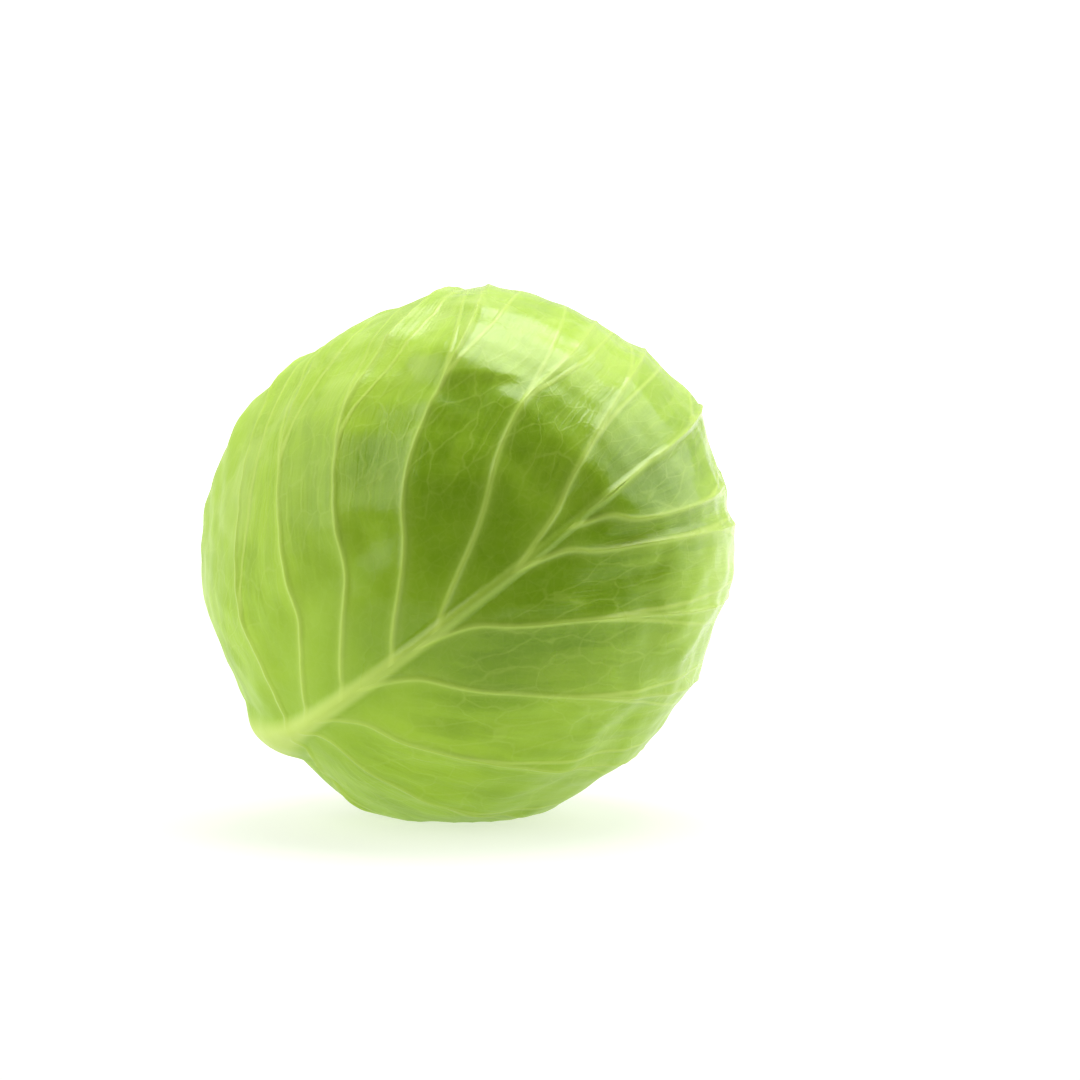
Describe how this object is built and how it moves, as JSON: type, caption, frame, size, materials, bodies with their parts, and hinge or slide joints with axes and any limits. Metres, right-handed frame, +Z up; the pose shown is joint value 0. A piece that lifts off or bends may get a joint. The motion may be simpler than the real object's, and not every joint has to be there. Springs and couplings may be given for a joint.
{
  "type": "cabbage head",
  "caption": "Whole head of white cabbage lying on its side, with big ribbed wrapper leaves closed round a firm heart and a cut stem.",
  "frame": {"origin": "middle of the small flat spot that the head rests on", "axes": "+Z up from the resting surface; the crown points to +X and up, and the middle of the outermost leaf faces -Y"},
  "size_m": [0.1711, 0.1649, 0.1705],
  "materials": {
    "stem": "cut plant stem, pale and moist",
    "heart": "smooth waxy leaf",
    "outer_leaf": "waxy satin leaf",
    "inner_leaf": "waxy satin leaf"
  },
  "bodies": {
    "root": {"stem": "stem", "heart": "heart", "wrapper_leaf_1": "outer_leaf", "wrapper_leaf_2": "outer_leaf", "wrapper_leaf_3": "inner_leaf", "wrapper_leaf_4": "inner_leaf", "wrapper_leaf_5": "inner_leaf"}
  },
  "joints": []
}
